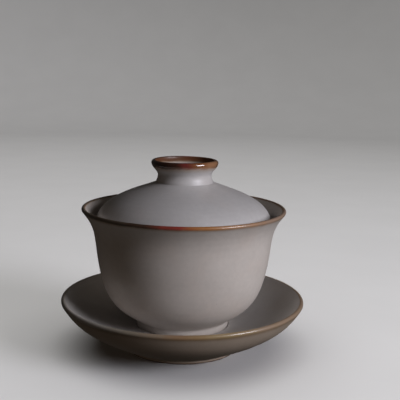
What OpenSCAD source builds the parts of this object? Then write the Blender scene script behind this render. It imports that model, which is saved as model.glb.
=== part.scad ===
// Gaiwan: a lidded tea bowl standing on its saucer.
// All three pieces are turned on a wheel, so each one is an outline spun round the Z axis.
// The origin is on the table, at the centre of the saucer's foot. Lengths are in millimetres.

/* [Saucer] */
// Diameter over the rim
saucer_d = 115.4; // [112:0.2:120]
// Height from the table to the top of the rim
saucer_h = 24.8; // [23:0.2:27]
// Outside diameter of the foot ring
saucer_foot_d = 55; // [50:1:58]
// Thickness of the rounded rim
saucer_lip = 2.2; // [1.8:0.1:2.6]
// Height of the seat that the bowl stands on
seat_h = 10.2; // [9.4:0.2:10.8]
// Depth of the well that keeps the bowl in the middle
well_depth = 1.2; // [0.9:0.1:1.6]

/* [Bowl] */
// Diameter over the flared rim
bowl_d = 96; // [94:0.5:99]
// Height from the foot to the top of the rim
bowl_h = 57.8; // [55:0.2:61]
// Outside diameter of the foot ring
bowl_foot_d = 44; // [41:0.5:46]
// Diameter where the round belly turns into the straight wall
belly_d = 78.8; // [77:0.2:80.5]
// Height of that turn above the foot
belly_h = 27; // [25:0.5:30]
// Thickness of the wall
bowl_wall = 2.6; // [2.2:0.1:3]
// Thickness of the rounded rim
bowl_lip = 1.9; // [1.6:0.1:2.2]

/* [Lid] */
// Diameter of the edge, which rests inside the bowl's flare
lid_d = 82.6; // [81.6:0.1:83.4]
// Rise of the dome from the edge to the knob
dome_h = 20.4; // [18:0.2:22]
// Thickness of the shell
lid_wall = 2.4; // [2:0.1:2.8]

/* [Knob] */
// Diameter over the rim of the knob
knob_d = 31.4; // [30:0.1:33]
// Diameter of the waist
waist_d = 25.2; // [24.4:0.1:26]
// Height from the dome to the top of the rim
knob_h = 10.6; // [9.6:0.2:12]
// Depth of the cup in the top
cup_depth = 8; // [6:0.2:8.8]

/* [Hidden] */
$fn = 96;

glaze_grey = "#bdb8b0";
glaze_white = "#cfcac2";

// Edges in each curve, and in each rounded corner
curve_steps = 20;
corner_steps = 4;
lip_steps = 10;

// Space between the lid's edge and the bowl, so that the lid lifts freely
lid_gap = 0.2;

// Foot rings: the rounding of their edges and of the corner inside the recess
foot_edge = 0.7;
foot_fillet = 1.2;

// Saucer
saucer_foot_r = saucer_foot_d / 2;
saucer_foot_width = 4.2;
saucer_foot_h = 1.6;
saucer_recess = 4.6;
saucer_lip_r = saucer_lip / 2;
saucer_lip_at = [saucer_d / 2 - saucer_lip_r, saucer_h - saucer_lip_r];
saucer_rim_angle = 58;
saucer_inner_rim_angle = 52;
well_gap = 0.25;
well_r = bowl_foot_d / 2 + well_gap;
well_edge = 0.4;
floor_z = seat_h + well_depth;

// Bowl, which stands on the seat
bowl_foot_r = bowl_foot_d / 2;
bowl_foot_width = 3.6;
bowl_foot_h = 5.2;
bowl_foot_fillet = 1.8;
bowl_recess = 2.6;
bowl_floor = 3.6;
bowl_top = seat_h + bowl_h;
bowl_lip_r = bowl_lip / 2;
bowl_lip_at = [bowl_d / 2 - bowl_lip_r, bowl_top - bowl_lip_r];
flare_angle = 51;
wall_angle = 78;
turn_out = [belly_d / 2, seat_h + belly_h];
turn_in = step(turn_out, bowl_wall, wall_angle + 90);
flare_in_top = step(bowl_lip_at, bowl_lip_r, flare_angle + 90);

// Lid: the middle of its rounded edge, where the edge comes to rest on the bowl's flare
lid_edge_r = lid_wall / 2;
lid_edge_at = flare_offset(seat_place(0, 1, 30));
lid_r = lid_d / 2;
dome_top = [13.5, lid_edge_at[1] + dome_h - lid_edge_r];
dome_slope = 157;
knob_top = dome_top[1] + knob_h;
knob_round_out = 1.4;
knob_round_in = 0.5;
knob_lip_r = knob_d / 2 - knob_round_out;
waist_at = [waist_d / 2, dome_top[1] + 0.33 * knob_h];
cup_floor_r = waist_d / 2 - 4.4;
cup_fillet = 2;
under_z = dome_top[1] - 3.4;

// The point at a distance from p, in the direction of an angle
function step(p, distance, angle) = p + distance * [cos(angle), sin(angle)];

// Corner points of a cubic curve from a to b, which leaves a along angle_a and reaches b along
// angle_b. The pulls say how far it keeps to each direction, as a part of the distance a to b.
function handles(a, angle_a, pull_a, b, angle_b, pull_b) =
    let (reach = norm(b - a))
    [a, step(a, pull_a * reach, angle_a), step(b, -pull_b * reach, angle_b), b];

// The point of that curve at t, from 0 to 1
function at(h, t) =
    pow(1 - t, 3) * h[0] + 3 * pow(1 - t, 2) * t * h[1] + 3 * (1 - t) * t * t * h[2] + pow(t, 3) * h[3];

function curve(h) = [for (i = [0 : curve_steps]) at(h, i / curve_steps)];

// Points of a circular arc
function arc(centre, r, from, to, steps = corner_steps) =
    [for (i = [0 : steps]) step(centre, r, from + (to - from) * i / steps)];

// Underside of a foot ring, from its outer wall to the axis
function foot(r, width, recess, base) =
    let (inner = r - width)
    concat(
        arc([r - foot_edge, base + foot_edge], foot_edge, 0, -90),
        arc([inner + foot_edge, base + foot_edge], foot_edge, -90, -180),
        arc([inner - foot_fillet, base + recess - foot_fillet], foot_fillet, 0, 90),
        [[0, base + recess]]
    );

// Inside of the bowl's flare, from the turn of the wall up to the rim
function flare_in() = handles(turn_in, wall_angle, 0.52, flare_in_top, flare_angle, 0.4);

// Middle of the lid's edge when it rests against the flare at t
function flare_offset(t) =
    let (h = flare_in(), along = at(h, t + 0.01) - at(h, t - 0.01))
    step(at(h, t), lid_edge_r + lid_gap, atan2(along[1], along[0]) + 90);

// The t at which the lid's edge comes to rest, found by halving the interval
function seat_place(low, high, rounds) =
    let (mid = (low + high) / 2)
    rounds == 0 ? mid
    : flare_offset(mid)[0] > lid_d / 2 - lid_edge_r ? seat_place(low, mid, rounds - 1)
    : seat_place(mid, high, rounds - 1);

// A shallow dish with a turned foot ring and a well for the bowl
module saucer() {
    outer_foot = [saucer_foot_r, saucer_foot_h];
    rim_out = step(saucer_lip_at, saucer_lip_r, saucer_rim_angle - 90);
    rim_in = step(saucer_lip_at, saucer_lip_r, saucer_inner_rim_angle + 90);
    well_top = [well_r + well_edge, floor_z];
    outline = concat(
        foot(saucer_foot_r, saucer_foot_width, saucer_recess, 0),
        [[0, seat_h]],
        arc([well_r - well_edge, seat_h + well_edge], well_edge, -90, 0),
        arc([well_r + well_edge, floor_z - well_edge], well_edge, 180, 90),
        curve(handles(well_top, 4, 0.5, rim_in, saucer_inner_rim_angle, 0.26)),
        arc(saucer_lip_at, saucer_lip_r, saucer_inner_rim_angle + 90, saucer_rim_angle - 90, lip_steps),
        curve(handles(rim_out, saucer_rim_angle + 180, 0.26, outer_foot, 205, 0.66))
    );
    color(glaze_grey) rotate_extrude() polygon(outline);
}

// The tea bowl: a foot ring, a round belly and a wall that flares to a thin rim
module bowl() {
    belly_foot = [bowl_foot_r + bowl_foot_fillet, seat_h + bowl_foot_h];
    foot_side = [bowl_foot_r, belly_foot[1] - 1.2 * bowl_foot_fillet];
    flare_out_top = step(bowl_lip_at, bowl_lip_r, flare_angle - 90);
    inside_floor = [0, seat_h + bowl_recess + bowl_floor];
    outline = concat(
        foot(bowl_foot_r, bowl_foot_width, bowl_recess, seat_h),
        curve(handles(inside_floor, 0, 0.5, turn_in, wall_angle, 0.4)),
        curve(flare_in()),
        arc(bowl_lip_at, bowl_lip_r, flare_angle + 90, flare_angle - 90, lip_steps),
        curve(handles(flare_out_top, flare_angle + 180, 0.4, turn_out, wall_angle + 180, 0.52)),
        curve(handles(turn_out, wall_angle + 180, 0.51, belly_foot, 210, 0.34)),
        curve(handles(belly_foot, 210, 0.45, foot_side, 270, 0.35))
    );
    color(glaze_white) rotate_extrude() polygon(outline);
}

// The domed lid, with a knob like a small cup
module lid() {
    edge_out = [lid_r, lid_edge_at[1]];
    edge_in = [lid_r - lid_wall, lid_edge_at[1]];
    knob_out = [knob_d / 2, knob_top - knob_round_out];
    cup_z = knob_top - cup_depth;
    cup_side = [cup_floor_r + cup_fillet, cup_z + cup_fillet];
    cup_lip = [knob_lip_r - knob_round_in, knob_top - knob_round_in];
    outline = concat(
        arc([lid_r - lid_edge_r, lid_edge_at[1]], lid_edge_r, 0, -180, lip_steps),
        curve(handles(edge_in, 90, 0.24, [0, under_z], 180, 0.5)),
        [[0, cup_z]],
        arc([cup_floor_r, cup_z + cup_fillet], cup_fillet, -90, 0),
        curve(handles(cup_side, 90, 0.3, cup_lip, 75, 0.3)),
        arc([knob_lip_r, cup_lip[1]], knob_round_in, 180, 90),
        arc([knob_lip_r, knob_out[1]], knob_round_out, 90, 0, lip_steps),
        curve(handles(knob_out, 265, 0.38, waist_at, 270, 0.28)),
        curve(handles(waist_at, 270, 0.5, dome_top, 284, 0.35)),
        curve(handles(dome_top, dome_slope + 180, 0.3, edge_out, 270, 0.34))
    );
    color(glaze_white) rotate_extrude() polygon(outline);
}

saucer();
bowl();
lid();
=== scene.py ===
"""A gaiwan on a pale studio floor: the saucer, the bowl and the lid.

Each piece is turned on a wheel, so each one is an outline spun round Z and given the marks that
throwing, trimming and glazing leave. Outlines are in millimetres in the frame's own coordinates,
and the meshes are in metres.
"""
import math

import bpy
import numpy as np
from mathutils import Matrix, Vector


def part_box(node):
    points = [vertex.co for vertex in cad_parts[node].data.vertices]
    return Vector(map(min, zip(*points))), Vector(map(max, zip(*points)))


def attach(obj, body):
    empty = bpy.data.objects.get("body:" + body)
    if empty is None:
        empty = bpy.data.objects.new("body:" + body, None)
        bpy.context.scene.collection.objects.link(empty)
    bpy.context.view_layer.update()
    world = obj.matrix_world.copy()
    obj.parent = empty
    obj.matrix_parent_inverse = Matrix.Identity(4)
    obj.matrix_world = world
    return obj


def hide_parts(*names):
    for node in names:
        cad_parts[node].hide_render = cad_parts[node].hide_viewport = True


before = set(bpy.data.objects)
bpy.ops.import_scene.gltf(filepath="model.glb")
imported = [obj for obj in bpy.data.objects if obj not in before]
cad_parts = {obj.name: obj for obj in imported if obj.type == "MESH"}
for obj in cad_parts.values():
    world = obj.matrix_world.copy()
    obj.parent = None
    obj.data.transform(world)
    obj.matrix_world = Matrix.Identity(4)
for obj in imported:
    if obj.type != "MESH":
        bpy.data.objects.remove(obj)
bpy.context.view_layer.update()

MM = 0.001

# ---------------------------------------------------------------- sizes, from the frame


def radius_of(node):
    """Largest radius of a CAD node, in millimetres."""
    low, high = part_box(node)
    return max(-low.x, -low.y, high.x, high.y) / MM


SAUCER_R = radius_of("saucer")
SAUCER_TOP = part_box("saucer")[1].z / MM
BOWL_R = radius_of("bowl")
BOWL_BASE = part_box("bowl")[0].z / MM
BOWL_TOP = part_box("bowl")[1].z / MM
LID_R = radius_of("lid")
LID_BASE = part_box("lid")[0].z / MM
LID_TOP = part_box("lid")[1].z / MM

# Two radii that the boxes don't give: the rounding of the bowl's lip, and the knob
BOWL_LIP_R = 0.95
KNOB_R = 15.7

# ---------------------------------------------------------------- outlines

LIP_STEPS = 30


def step(point, distance, angle):
    """The point at a distance from another, in the direction of an angle in degrees."""
    turn = math.radians(angle)
    return np.array(point) + distance * np.array([math.cos(turn), math.sin(turn)])


def curve(a, angle_a, pull_a, b, angle_b, pull_b, steps=60):
    """Points of a cubic from a to b that leaves a along angle_a and reaches b along angle_b.

    The pulls say how far it keeps to each direction, as a part of the distance from a to b.
    """
    a, b = np.array(a, float), np.array(b, float)
    reach = np.linalg.norm(b - a)
    p, q = step(a, pull_a * reach, angle_a), step(b, -pull_b * reach, angle_b)
    t = np.linspace(0, 1, steps)[:, None]
    return (1 - t) ** 3 * a + 3 * (1 - t) ** 2 * t * p + 3 * (1 - t) * t * t * q + t ** 3 * b


def arc(centre, r, start, end, steps=16):
    """Points of a circular arc between two angles in degrees."""
    return np.array([step(centre, r, angle) for angle in np.linspace(start, end, steps)])


def foot_ring(r, width, recess, base):
    """The underside of a foot ring, from its outer wall to the axis."""
    edge, fillet = 0.7, 1.2
    inner = r - width
    return np.concatenate([
        arc([r - edge, base + edge], edge, 0, -90),
        arc([inner + edge, base + edge], edge, -90, -180),
        arc([inner - fillet, base + recess - fillet], fillet, 0, 90),
        [[0, base + recess]],
    ])


# Every outline runs from the axis on top, over the rim, down the outside and back to the axis.


def saucer_outline():
    well_r, well_edge, well_depth = 22.25, 0.4, 1.2
    floor_z = BOWL_BASE + well_depth
    lip_r = 1.1
    lip = [SAUCER_R - lip_r, SAUCER_TOP - lip_r]
    inner_angle, outer_angle = 52, 58
    foot_r, foot_h, foot_width, foot_recess = 27.5, 1.6, 4.2, 4.6
    return np.concatenate([
        [[0, BOWL_BASE]],
        arc([well_r - well_edge, BOWL_BASE + well_edge], well_edge, -90, 0),
        arc([well_r + well_edge, floor_z - well_edge], well_edge, 180, 90),
        curve([well_r + well_edge, floor_z], 4, 0.5,
              step(lip, lip_r, inner_angle + 90), inner_angle, 0.26),
        arc(lip, lip_r, inner_angle + 90, outer_angle - 90, LIP_STEPS),
        curve(step(lip, lip_r, outer_angle - 90), outer_angle + 180, 0.26,
              [foot_r, foot_h], 205, 0.66),
        foot_ring(foot_r, foot_width, foot_recess, 0),
    ])


def bowl_outline():
    floor_h, wall = 6.2, 2.6
    lip = [BOWL_R - BOWL_LIP_R, BOWL_TOP - BOWL_LIP_R]
    flare_angle, wall_angle = 51, 78
    turn_r, turn_h = 39.4, 27
    turn_out = np.array([turn_r, BOWL_BASE + turn_h])
    turn_in = step(turn_out, wall, wall_angle + 90)
    foot_r, foot_side_h, foot_width, foot_recess = 22, 3.04, 3.6, 2.6
    fillet, fillet_h = 1.8, 5.2
    belly_foot = [foot_r + fillet, BOWL_BASE + fillet_h]
    return np.concatenate([
        curve([0, BOWL_BASE + floor_h], 0, 0.5, turn_in, wall_angle, 0.4),
        curve(turn_in, wall_angle, 0.52,
              step(lip, BOWL_LIP_R, flare_angle + 90), flare_angle, 0.4),
        arc(lip, BOWL_LIP_R, flare_angle + 90, flare_angle - 90, LIP_STEPS),
        curve(step(lip, BOWL_LIP_R, flare_angle - 90), flare_angle + 180, 0.4,
              turn_out, wall_angle + 180, 0.52),
        curve(turn_out, wall_angle + 180, 0.51, belly_foot, 210, 0.34),
        curve(belly_foot, 210, 0.45, [foot_r, BOWL_BASE + foot_side_h], 270, 0.35, steps=20),
        foot_ring(foot_r, foot_width, foot_recess, BOWL_BASE),
    ])


def lid_outline():
    knob_h, dome_r, waist_r, waist_h = 10.6, 13.5, 12.6, 3.5
    dome_top = [dome_r, LID_TOP - knob_h]
    waist = [waist_r, dome_top[1] + waist_h]
    cup_r, cup_depth, cup_fillet = 8.2, 8, 2
    cup_z = LID_TOP - cup_depth
    round_out, round_in = 1.4, 0.5
    lip_r, lip_in, lip_out = KNOB_R - round_out, LID_TOP - round_in, LID_TOP - round_out
    wall, edge_r, crown = 2.4, 1.2, 3.4
    edge_z, under_z = LID_BASE + edge_r, dome_top[1] - crown
    return np.concatenate([
        [[0, cup_z]],
        arc([cup_r, cup_z + cup_fillet], cup_fillet, -90, 0),
        curve([cup_r + cup_fillet, cup_z + cup_fillet], 90, 0.3, [lip_r - round_in, lip_in], 75, 0.3),
        arc([lip_r, lip_in], round_in, 180, 90),
        arc([lip_r, lip_out], round_out, 90, 0, LIP_STEPS),
        curve([KNOB_R, lip_out], 265, 0.38, waist, 270, 0.28),
        curve(waist, 270, 0.5, dome_top, 284, 0.35),
        curve(dome_top, 337, 0.3, [LID_R, edge_z], 270, 0.34),
        arc([LID_R - edge_r, edge_z], edge_r, 0, -180, LIP_STEPS),
        curve([LID_R - wall, edge_z], 90, 0.24, [0, under_z], 180, 0.5),
    ])


# ---------------------------------------------------------------- turning a piece

# Spacing of an outline's points in millimetres, and the number of points round each ring
FINE = 0.05
SEGMENTS = 240

# The marks, in millimetres: the depth of the throwing rings, the step where the glaze ends, and
# the rim's dip, which comes to about three times this at its lowest
RING_DEPTH = 0.025
GLAZE_STEP = 0.16
RIM_DIP = 0.07

# How far the form is out of round, as a part of the radius
OUT_OF_ROUND = 0.0012


def gaps(points):
    """Distances between neighbouring points."""
    return np.linalg.norm(np.diff(points, axis=0), axis=1)


def running_mean(values, width):
    return np.convolve(values, np.ones(width) / width, "same")


def smooth(low, high, x):
    """0 below low, 1 above high, and a smooth rise between them."""
    t = np.clip((x - low) / (high - low), 0, 1)
    return t * t * (3 - 2 * t)


def soften(points, amount):
    """Spaces an outline evenly at FINE and rounds it off, as a coat of glaze does."""
    # Neighbouring stretches of an outline share a point, which is kept once
    same_point = 1e-6
    points = points[np.r_[True, gaps(points) > same_point]]
    along = np.r_[0, np.cumsum(gaps(points))]
    even = np.arange(0, along[-1], FINE)
    line = np.stack([np.interp(even, along, points[:, i]) for i in (0, 1)], 1)

    # A bell curve that ends at four widths, on an outline that goes on mirrored beyond the axis
    widths = 4
    span = int(widths * amount / FINE)
    mirror = np.array([-1, 1])
    line = np.concatenate([line[span:0:-1] * mirror, line, line[-2:-span - 2:-1] * mirror])
    weight = np.exp(-0.5 * (np.arange(-span, span + 1) * FINE / amount) ** 2)
    weight /= weight.sum()
    line = np.stack([np.convolve(line[:, i], weight, "valid") for i in (0, 1)], 1)
    line[[0, -1], 0] = 0
    return line


def pick_rings(line, count):
    """Chooses rings along an outline, closer together where it bends."""
    edge = np.diff(line, axis=0)
    heading = np.unwrap(np.arctan2(edge[:, 1], edge[:, 0]))
    bend = running_mean(np.abs(np.gradient(heading)) / FINE, 9)
    crowding, sharpest = 3.0, 1.5
    cost = np.r_[0, np.cumsum(1 + crowding * np.minimum(bend, sharpest))]
    return np.unique(np.searchsorted(cost, np.linspace(0, cost[-1], count)))


def directions(line):
    """The way out at each point of an outline, and its bend, which is positive in hollow corners.

    The bend is in radians per millimetre, as a mean over about 2 mm.
    """
    tangent = np.gradient(line, axis=0)
    tangent /= np.linalg.norm(tangent, axis=1)[:, None]
    out = np.stack([-tangent[:, 1], tangent[:, 0]], 1)
    heading = np.unwrap(np.arctan2(tangent[:, 1], tangent[:, 0]))
    return out, running_mean(np.gradient(heading) / FINE, 41)


def throwing_rings(along, theta, clear, pitch, random):
    """Depth of a shallow spiral groove that sways and fades, and that is absent where clear is 0.

    Along and pitch are in millimetres. Three waves of different length make it sway.
    """
    shares, lengths, folds = (0.5, 0.3, 0.2), (41.0, 23.0, 11.0), (1, 2, 3)
    phases = random.uniform(0, 2 * math.pi, 3)
    sway = sum(
        share * np.sin(2 * math.pi * along / length + fold * theta + phase)
        for share, length, fold, phase in zip(shares, lengths, folds, phases)
    )
    spiral = 2 * math.pi * along / pitch + theta
    rings = 0.5 + 0.5 * np.sin(spiral + 1.6 * sway)
    return RING_DEPTH * clear * rings * (0.6 + 0.4 * sway)


def lathe(name, r, z, theta, values):
    """A closed mesh of rings round Z, whose first and last ring are one point each on the axis.

    The values become the mesh's attributes, with one number for each ring.
    """
    rings = np.stack([r * np.cos(theta), r * np.sin(theta), z], -1)[1:-1]
    ends = [[0, 0, z[0, 0]], [0, 0, z[-1, 0]]]
    verts = np.concatenate([rings.reshape(-1, 3), ends]) * MM

    here = np.arange(SEGMENTS)
    beside = (here + 1) % SEGMENTS
    start = SEGMENTS * np.arange(len(rings) - 1)[:, None]
    below = start + SEGMENTS
    walls = np.stack([start + here, below + here, below + beside, start + beside], -1)
    first, last = len(verts) - 2, len(verts) - 1
    bottom = (len(rings) - 1) * SEGMENTS
    faces = walls.reshape(-1, 4).tolist()
    faces += [[first, a, b] for a, b in zip(here, beside)]
    faces += [[last, bottom + b, bottom + a] for a, b in zip(here, beside)]

    mesh = bpy.data.meshes.new(name)
    mesh.from_pydata(verts, [], faces)
    mesh.shade_smooth()
    for label, value in values.items():
        layer = mesh.attributes.new(label, "FLOAT", "POINT")
        layer.data.foreach_set("value", np.r_[np.repeat(value[1:-1], SEGMENTS), value[0], value[-1]])
    return mesh


def put(name, data):
    """Puts a mesh, a lamp or a camera into the scene as an object."""
    thing = bpy.data.objects.new(name, data)
    bpy.context.scene.collection.objects.link(thing)
    return thing


def turn_piece(name, outline, count, seed, bare, softness=0.3, ring_pitch=3.1):
    """One thrown piece of about count rings, with throwing rings and a slightly uneven form.

    The finished surface lies at most 0.3 mm inside the outline and 0.15 mm outside it. Up to bare
    millimetres from the ring that the piece stands on, the wall has no coat of glaze.
    The attributes lip and foot hold the distance along the outline from the top of the rim, which
    is positive outside, and from the middle of the ring that the piece stands on. The attribute
    pool is 1 in hollow corners, where glaze gathers.
    """
    line = soften(outline, softness)
    out, bend = directions(line)
    along = np.arange(len(line)) * FINE
    top = along[np.argmax(line[:, 1])]
    touching = 0.02
    stand = along[line[:, 1] < line[:, 1].min() + touching].mean()

    rows = pick_rings(line, count)
    points, out, bend, along = line[rows], out[rows], bend[rows], along[rows]
    from_lip, from_foot = along - top, along - stand
    theta = np.linspace(0, 2 * math.pi, SEGMENTS, endpoint=False)
    random = np.random.default_rng(seed)

    # The throwing rings keep some millimetres clear of the rim, the ring below and the axis
    clear = smooth(2, 7, np.abs(from_lip)) * smooth(3, 6, np.abs(from_foot))
    clear = clear * smooth(3, 9, points[:, 0])
    depth = throwing_rings(along[:, None], theta[None, :], clear[:, None], ring_pitch, random)
    r = points[:, :1] - out[:, :1] * depth
    z = points[:, 1:] - out[:, 1:] * depth

    # The glaze ends in a rounded step above the bare ring
    glaze_step = GLAZE_STEP * (1 - smooth(bare, bare + 0.5, np.abs(from_foot)))
    r = r - (glaze_step * out[:, 0])[:, None]

    # The rim dips a little as it goes round, and the form is out of round
    phases = random.uniform(0, 2 * math.pi, 2)
    dip = RIM_DIP * (2 + np.cos(2 * theta + phases[0]) + np.cos(5 * theta + phases[1]) * 0.3)
    z = z - (1 - smooth(0, 9, np.abs(from_lip)))[:, None] * dip[None, :]
    oval = 1 - OUT_OF_ROUND * (1 + np.cos(2 * theta + random.uniform(0, math.pi)))[None, :]
    r = np.maximum(r, 0) * oval

    values = {"lip": from_lip, "foot": from_foot, "pool": smooth(0.05, 0.5, bend)}
    return put(name, lathe(name, r, z, theta, values))


# ---------------------------------------------------------------- materials


class Graph:
    """Builds a node material: most calls add one node and return its output."""

    def __init__(self, name):
        self.material = bpy.data.materials.new(name)
        self.material.use_nodes = True
        self.tree = self.material.node_tree
        self.shader = self.tree.nodes["Principled BSDF"]

    def set(self, socket, value):
        if isinstance(value, bpy.types.NodeSocket):
            self.tree.links.new(value, socket)
        else:
            socket.default_value = value

    def add(self, kind, inputs, output=0, **settings):
        node = self.tree.nodes.new(kind)
        for key, value in settings.items():
            setattr(node, key, value)
        for key, value in inputs.items():
            self.set(node.inputs[key], value)
        return node.outputs[output]

    def place(self):
        return self.add("ShaderNodeTexCoord", {}, "Object")

    def attribute(self, name):
        return self.add("ShaderNodeAttribute", {}, "Fac", attribute_name=name)

    def math(self, operation, a, b=0.0):
        return self.add("ShaderNodeMath", {0: a, 1: b}, operation=operation)

    def noise(self, size_mm, detail=2.0, rough=0.5):
        """Noise from 0 to 1 whose features are about this many millimetres wide."""
        return self.add("ShaderNodeTexNoise", {"Vector": self.place(), "Scale": 1 / (size_mm * MM),
                                               "Detail": detail, "Roughness": rough})

    def cells(self, size_mm):
        """The distance from the middle of a cell, in cells, and a random number for each cell."""
        node = self.tree.nodes.new("ShaderNodeTexVoronoi")
        self.set(node.inputs["Vector"], self.place())
        self.set(node.inputs["Scale"], 1 / (size_mm * MM))
        number = self.add("ShaderNodeSeparateColor", {0: node.outputs["Color"]})
        return node.outputs["Distance"], number

    def rise(self, value, low, high, to_low=0.0, to_high=1.0):
        """A smooth step from to_low to to_high, as the value goes from low to high."""
        return self.add("ShaderNodeMapRange", {"Value": value, "From Min": low, "From Max": high,
                                               "To Min": to_low, "To Max": to_high},
                        interpolation_type="SMOOTHSTEP")

    def grey(self, value):
        return self.add("ShaderNodeCombineColor", {0: value, 1: value, 2: value})

    def mix(self, amount, a, b, blend="MIX"):
        """A colour that goes from a to b."""
        node = self.tree.nodes.new("ShaderNodeMix")
        node.data_type, node.blend_type = "RGBA", blend
        for socket, value in ((node.inputs[0], amount), (node.inputs[6], a), (node.inputs[7], b)):
            self.set(socket, value if not isinstance(value, tuple) else (*value, 1))
        return node.outputs[2]

    def between(self, amount, a, b):
        """A number that goes from a to b."""
        return self.add("ShaderNodeMix", {0: amount, 2: a, 3: b}, data_type="FLOAT")

    def ramp(self, value, stops):
        """Colours at stated places along a value from -1 to 1, with a smooth change between them."""
        node = self.tree.nodes.new("ShaderNodeValToRGB")
        node.color_ramp.interpolation = "EASE"
        while len(node.color_ramp.elements) < len(stops):
            node.color_ramp.elements.new(0.5)
        for element, (place, colour) in zip(node.color_ramp.elements, stops):
            element.position, element.color = (place + 1) / 2, (*colour, 1)
        self.set(node.inputs[0], self.rise(value, -1, 1))
        return node.outputs[0]


SPECK = (0.16, 0.1, 0.06)
DARK_CLAY, LIGHT_CLAY = (0.1, 0.052, 0.032), (0.17, 0.098, 0.062)
WARMER = (1.0, 0.945, 0.91)
POOLED = (0.9, 0.9, 0.9)


def times(colour, factors):
    return tuple(c * k for c, k in zip(colour, factors))


def cloudy_coat(graph, light, shade):
    """The coat's colour: clouds of light and shade, with warmer patches and a fine mottle."""
    cloud = graph.rise(graph.noise(size_mm=30, detail=3), 0.32, 0.68)
    blush = graph.rise(graph.noise(size_mm=14), 0.45, 0.75, 0.0, 0.35)
    mottle = graph.rise(graph.noise(size_mm=2.2, detail=4, rough=0.6), 0.25, 0.75, 0.965, 1.025)
    coat = graph.mix(cloud, light, shade)
    coat = graph.mix(blush, coat, times(light, WARMER))
    return graph.mix(1.0, coat, graph.grey(mottle), "MULTIPLY")


def iron_specks(graph):
    """1 in the soft dots that a few cells of a cell pattern hold, and 0 elsewhere."""
    distance, number = graph.cells(size_mm=2.6)
    dot = graph.rise(distance, 0.11, 0.03)
    chosen = graph.rise(number, 0.88, 0.99)
    return graph.math("MULTIPLY", dot, chosen)


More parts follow.
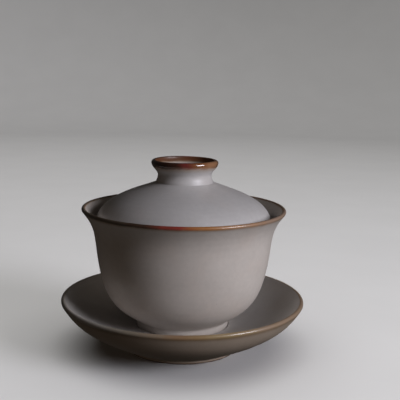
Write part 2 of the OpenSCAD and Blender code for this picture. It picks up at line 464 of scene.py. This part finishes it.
def glaze(name, radius, bare, light, shade, rim, inner, fade, out_reach, in_reach, even=1.0,
          outside=(1.0, 1.0, 1.0), shine=1.0):
    """A satin off-white glaze over iron-rich stoneware, which shows brown where the glaze runs thin.

    The coat's colour lies between light and shade, and on the outside it is multiplied by outside.
    On the saucer this is painted light: a warm tint for light bounced up from a table below.
    The brown reaches out_reach millimetres down the outside of the rim and in_reach down the
    inside, and fade is its colour where it runs out. The rim's colours lie at places from its
    left, at -1, to its right, at 1, and radius is the rim's own in millimetres. Besides the
    brown's own changes of hue round the rim, on the bowl and the lid they are painted shade on
    the left, darker where shade falls, and painted light on the right, lighter and coppery where
    the lamp falls. Inside the rim they turn to inner. With even at 1 the brown goes all the way
    round, and at 0 it comes and goes. It is glassy at a shine of 1, and duller below that. The
    clay is bare up to bare millimetres from the ring below.
    """
    graph = Graph(name)
    lip, foot, pool = graph.attribute("lip"), graph.attribute("foot"), graph.attribute("pool")
    specks = iron_specks(graph)

    # The coat is greyer where it has gathered
    colour = cloudy_coat(graph, light, shade)
    colour = graph.mix(graph.math("MULTIPLY", pool, 0.4), colour, times(shade, POOLED))
    # On the outside the coat is multiplied by outside; on the saucer this is painted warm bounce light
    # from below
    colour = graph.mix(graph.rise(lip, 0.0, 3.0), colour, outside, "MULTIPLY")
    colour = graph.mix(graph.math("MULTIPLY", specks, 0.5), colour, SPECK)

    # Distance from the rim's top as a part of the brown's reach, with a wandering edge. The brown
    # ends round 1, and its halo by 1.7.
    wander = graph.math("SUBTRACT", graph.noise(size_mm=6, detail=3, rough=0.55), 0.5)
    reach = graph.math("MAXIMUM", graph.math("DIVIDE", lip, out_reach),
                       graph.math("DIVIDE", lip, -in_reach))
    reach = graph.math("ADD", reach, graph.math("MULTIPLY", wander, 0.4))
    round_rim = graph.rise(graph.noise(size_mm=38, detail=1), 0.42, 0.56, even, 1.0)
    brown = graph.math("MULTIPLY", graph.rise(reach, 1.15, 0.8), round_rim)
    halo = graph.math("MULTIPLY", graph.rise(reach, 1.7, 0.85), graph.math("MULTIPLY", round_rim, 0.7))

    # The brown itself, by its place along the rim, and worn towards its edge. Along the rim the ramp
    # also paints shade on the left and light on the right, besides the brown's own changes of hue
    side = graph.math("DIVIDE", graph.add("ShaderNodeSeparateXYZ", {0: graph.place()}), radius * MM)
    tint = graph.ramp(graph.math("ADD", side, graph.math("MULTIPLY", wander, 0.4)), rim)
    tint = graph.mix(graph.rise(lip, -0.2, -0.9, 0.0, 0.85), tint, inner)
    patches = graph.rise(graph.noise(size_mm=5, detail=3), 0.35, 0.7, 0.1, 0.6)
    tint = graph.mix(graph.math("MULTIPLY", graph.rise(reach, 0.5, 1.05), patches), tint, fade)
    colour = graph.mix(halo, colour, fade)
    colour = graph.mix(brown, colour, tint)

    # Satin on the coat, and glassy where the iron shows, but less so inside
    satin = graph.rise(graph.noise(size_mm=9, detail=4, rough=0.6), 0.3, 0.7, 0.34, 0.44)
    dull = 0.35 * (1 - shine)
    glassy = graph.rise(graph.noise(size_mm=1.5, detail=3), 0.3, 0.7, 0.1 + dull, 0.17 + dull)
    glassy = graph.math("ADD", glassy, graph.rise(lip, 0.0, -0.8, 0.0, 0.3))
    rough = graph.between(brown, satin, glassy)
    clear_coat = graph.math("MULTIPLY", brown, graph.rise(lip, -0.4, 0.2, 0.0, shine))
    peel = graph.math("MULTIPLY", graph.noise(size_mm=1.6), 0.6)
    height = graph.math("SUBTRACT", peel, graph.math("MULTIPLY", specks, 0.5))

    # Bare clay on the ring below, with a thin line of brown where the coat ends
    edge = graph.math("ADD", graph.math("ABSOLUTE", foot), graph.math("MULTIPLY", wander, 0.5))
    uncoated = graph.rise(edge, bare + 0.35, bare + 0.1)
    thinning = graph.rise(edge, bare + 1.0, bare + 0.2)
    grain = graph.noise(size_mm=0.4, detail=4, rough=0.7)
    colour = graph.mix(graph.math("MULTIPLY", thinning, 0.5), colour, fade)
    colour = graph.mix(uncoated, colour, graph.mix(grain, DARK_CLAY, LIGHT_CLAY))
    rough = graph.between(uncoated, rough, 0.82)
    height = graph.math("ADD", height, graph.math("MULTIPLY", uncoated, grain))

    shader = graph.shader.inputs
    graph.set(shader["Base Color"], colour)
    graph.set(shader["Roughness"], rough)
    graph.set(shader["Coat Weight"], clear_coat)
    graph.set(shader["Normal"], graph.add(
        "ShaderNodeBump", {"Strength": 0.3, "Distance": 0.05 * MM, "Height": height}))
    shader["IOR"].default_value = 1.5
    shader["Coat IOR"].default_value = 1.55
    shader["Coat Roughness"].default_value = 0.1
    return graph.material


def dress(piece, node, material):
    """Gives a piece its material, its CAD body and the CAD node that it stands for."""
    piece.data.materials.append(material)
    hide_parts(node)
    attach(piece, node)


# ---------------------------------------------------------------- the three pieces

TAN = (0.34, 0.22, 0.13)
BARE = {"saucer": 2.2, "bowl": 1.6, "lid": 1.1}

saucer = turn_piece("saucer_body", saucer_outline(), 300, seed=3, bare=BARE["saucer"], ring_pitch=3.6)
dress(saucer, "saucer", glaze(
    "saucer_glaze", SAUCER_R, BARE["saucer"],
    light=(0.495, 0.472, 0.455),
    shade=(0.44, 0.42, 0.4),
    rim=[(-0.9, (0.4, 0.37, 0.33)), (-0.5, (0.28, 0.24, 0.18)), (0.0, (0.27, 0.155, 0.07)),
         (0.5, (0.33, 0.235, 0.12)), (0.95, (0.31, 0.22, 0.15))],
    inner=(0.33, 0.23, 0.13),
    fade=(0.235, 0.152, 0.083),
    out_reach=2.9,
    in_reach=0.5,
    even=0.8,
    # Painted warm bounce light: the saucer's outside is warmed as by light bounced up from a table
    outside=(0.93, 0.785, 0.635),
    shine=0.4,
))

bowl = turn_piece("bowl_body", bowl_outline(), 340, seed=5, bare=BARE["bowl"])
dress(bowl, "bowl", glaze(
    "bowl_glaze", BOWL_R, BARE["bowl"],
    light=(0.63, 0.575, 0.52),
    shade=(0.575, 0.522, 0.472),
    # The rim goes dark, burgundy, then coppery from left to right: its own changes of hue, with painted
    # shade on the left and painted light on the right
    rim=[(-0.95, (0.13, 0.1, 0.07)), (-0.5, (0.07, 0.04, 0.025)), (-0.05, (0.3, 0.045, 0.03)),
         (0.35, (0.4, 0.17, 0.05)), (0.7, (0.4, 0.2, 0.09)), (1.0, (0.3, 0.2, 0.14))],
    inner=(0.22, 0.13, 0.08),
    fade=TAN,
    out_reach=2.35,
    in_reach=1.0,
    even=0.9,
    shine=0.4,
))

lid = turn_piece("lid_body", lid_outline(), 340, seed=8, bare=BARE["lid"], softness=0.14, ring_pitch=2.6)
dress(lid, "lid", glaze(
    "lid_glaze", KNOB_R, BARE["lid"],
    light=(0.565, 0.545, 0.53),
    shade=(0.515, 0.495, 0.48),
    # The knob's rim goes near black, burgundy, then coppery from left to right: its own changes of hue,
    # with painted shade on the left and painted light on the right
    rim=[(-0.9, (0.05, 0.017, 0.01)), (-0.3, (0.06, 0.02, 0.012)), (0.1, (0.17, 0.03, 0.025)),
         (0.6, (0.22, 0.085, 0.032)), (1.0, (0.32, 0.16, 0.08))],
    inner=(0.13, 0.05, 0.02),
    fade=TAN,
    out_reach=4.0,
    in_reach=3.2,
))

# ---------------------------------------------------------------- studio

# The middle of the object, which every lamp faces
AIM = Vector((0, 0, 0.045))


def studio_sweep():
    """A round pale floor that curves up into a wall, seen from every side."""
    flat, bend, wall = 1.2, 0.5, 1.9
    sides, bend_steps = 96, 12
    profile = [(flat + bend * math.sin(a), bend - bend * math.cos(a))
               for a in np.linspace(0, math.pi / 2, bend_steps + 1)]
    profile.append((flat + bend, wall))
    verts = [(r * math.cos(t), r * math.sin(t), z)
             for r, z in profile for t in np.linspace(0, 2 * math.pi, sides, endpoint=False)]
    verts.append((0, 0, 0))
    faces = [(len(verts) - 1, j, (j + 1) % sides) for j in range(sides)]
    faces += [(i * sides + j, (i + 1) * sides + j, (i + 1) * sides + (j + 1) % sides,
               i * sides + (j + 1) % sides) for i in range(len(profile) - 1) for j in range(sides)]
    mesh = bpy.data.meshes.new("studio_sweep")
    mesh.from_pydata(verts, [], faces)
    mesh.shade_smooth()
    sweep = put("studio_sweep", mesh)

    graph = Graph("studio_paper")
    tone = graph.rise(graph.noise(size_mm=60, detail=3), 0.3, 0.7)
    paper = graph.mix(tone, (0.645, 0.637, 0.63), (0.66, 0.652, 0.645))
    graph.set(graph.shader.inputs["Base Color"], paper)
    graph.shader.inputs["Roughness"].default_value = 0.9
    graph.shader.inputs["Specular IOR Level"].default_value = 0.1
    mesh.materials.append(graph.material)
    return sweep


def softbox(name, azimuth, elevation, distance, size, watts, colour, only=None, spread=180,
            mirrored=True):
    """An area light that faces the object. Azimuth 0 is the camera's side, and 90 is its right.

    It lights everything, or only the objects that are given, and it reaches out as wide as spread.
    A lamp that isn't mirrored leaves no highlight.
    """
    light = bpy.data.lights.new(name, "AREA")
    light.shape, light.size, light.size_y = "RECTANGLE", size[0], size[1]
    light.energy, light.color, light.spread = watts, colour, math.radians(spread)
    lamp = put(name, light)
    turn, rise = math.radians(azimuth), math.radians(elevation)
    offset = Vector((math.sin(turn) * math.cos(rise), -math.cos(turn) * math.cos(rise), math.sin(rise)))
    lamp.location = AIM + distance * offset
    lamp.rotation_euler = offset.to_track_quat("Z", "Y").to_euler()
    lamp.visible_camera = False
    lamp.visible_glossy = mirrored
    if only:
        lit = bpy.data.collections.new(name + "_lights")
        for thing in only:
            lit.objects.link(thing)
        lamp.light_linking.receiver_collection = lit


def studio_air(colour, strength):
    """A weak light from all sides."""
    world = bpy.data.worlds.new("studio_air")
    world.use_nodes = True
    background = world.node_tree.nodes["Background"].inputs
    background["Color"].default_value = (*colour, 1)
    background["Strength"].default_value = strength
    bpy.context.scene.world = world


def camera():
    """The camera stands in front, a little above the bowl's rim, and leans very slightly."""
    right, back, above_rim = 0.0074, 0.351, 0.0645
    look_down, lean = math.radians(9.79), math.radians(1.15)
    data = bpy.data.cameras.new("camera")
    data.lens = 68.1
    data.sensor_width = 36
    eye = put("camera", data)
    rim_z = (BOWL_TOP - BOWL_LIP_R) * MM
    place = Matrix.Translation((right, -back, rim_z + above_rim))
    tilt = Matrix.Rotation(math.pi / 2 - look_down, 4, "X")
    eye.matrix_world = place @ tilt @ Matrix.Rotation(lean, 4, "Z")
    bpy.context.scene.camera = eye


# The overhead lamp lights the floor only, and the floor neither lights the pieces nor shows in
# their gloss, so that it stays pale while the pieces keep their contrast.
sweep = studio_sweep()
softbox("window", azimuth=58, elevation=21, distance=1.2, size=(0.56, 0.42), watts=2.5,
        colour=(0.925, 0.92, 1.0), spread=80)
softbox("warm_fill", azimuth=-38, elevation=4, distance=0.8, size=(0.7, 0.16), watts=0.1,
        colour=(1.0, 0.72, 0.5), mirrored=False)
softbox("behind", azimuth=184, elevation=5, distance=0.9, size=(0.5, 0.14), watts=0.6,
        colour=(1.0, 0.965, 0.94), only=[saucer, bowl, lid], spread=80, mirrored=False)
softbox("overhead", azimuth=0, elevation=90, distance=1.6, size=(2.6, 2.6), watts=29,
        colour=(1.0, 1.0, 1.0), only=[sweep])
sweep.visible_diffuse = sweep.visible_glossy = False
studio_air((1.0, 0.9, 0.82), 0.023)
camera()
bpy.context.scene.view_settings.view_transform = "Standard"
